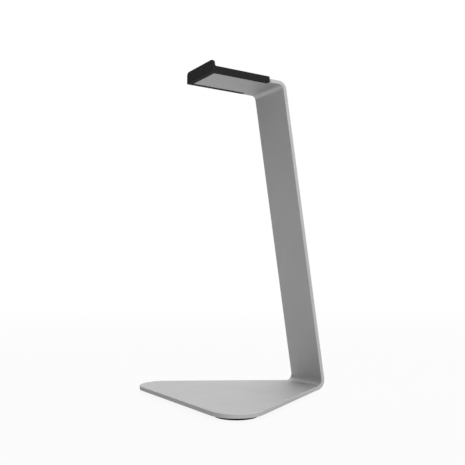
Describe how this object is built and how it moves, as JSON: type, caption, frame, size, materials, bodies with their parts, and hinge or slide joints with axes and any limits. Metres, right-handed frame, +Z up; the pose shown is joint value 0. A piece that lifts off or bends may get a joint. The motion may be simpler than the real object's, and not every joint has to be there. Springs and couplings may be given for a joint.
{
  "type": "headphone stand",
  "caption": "Desktop headphone stand: bent plate with a rounded triangular base, a forward-leaning post and a level arm capped by a lipped saddle cap.",
  "frame": {"origin": "middle of the bounding box's bottom face, on the surface that the stand rests on", "axes": "+Z up, -Y to the front, where the arm and the base point, +X to the stand's left-right; the stand is symmetric about X = 0"},
  "size_m": [0.15, 0.1286, 0.2588],
  "materials": {
    "anodised_aluminium": "bead-blasted, clear anodised, satin grey",
    "silicone": "moulded, matte black",
    "foot_rubber": "matte black",
    "adhesive": "translucent double-sided acrylic film"
  },
  "bodies": {
    "root": {"stand_plate": "anodised_aluminium", "saddle_cap": "silicone", "saddle_adhesive": "adhesive", "front_left_foot": "foot_rubber", "front_left_foot_adhesive": "adhesive", "front_right_foot": "foot_rubber", "front_right_foot_adhesive": "adhesive", "rear_foot": "foot_rubber", "rear_foot_adhesive": "adhesive"}
  },
  "joints": []
}
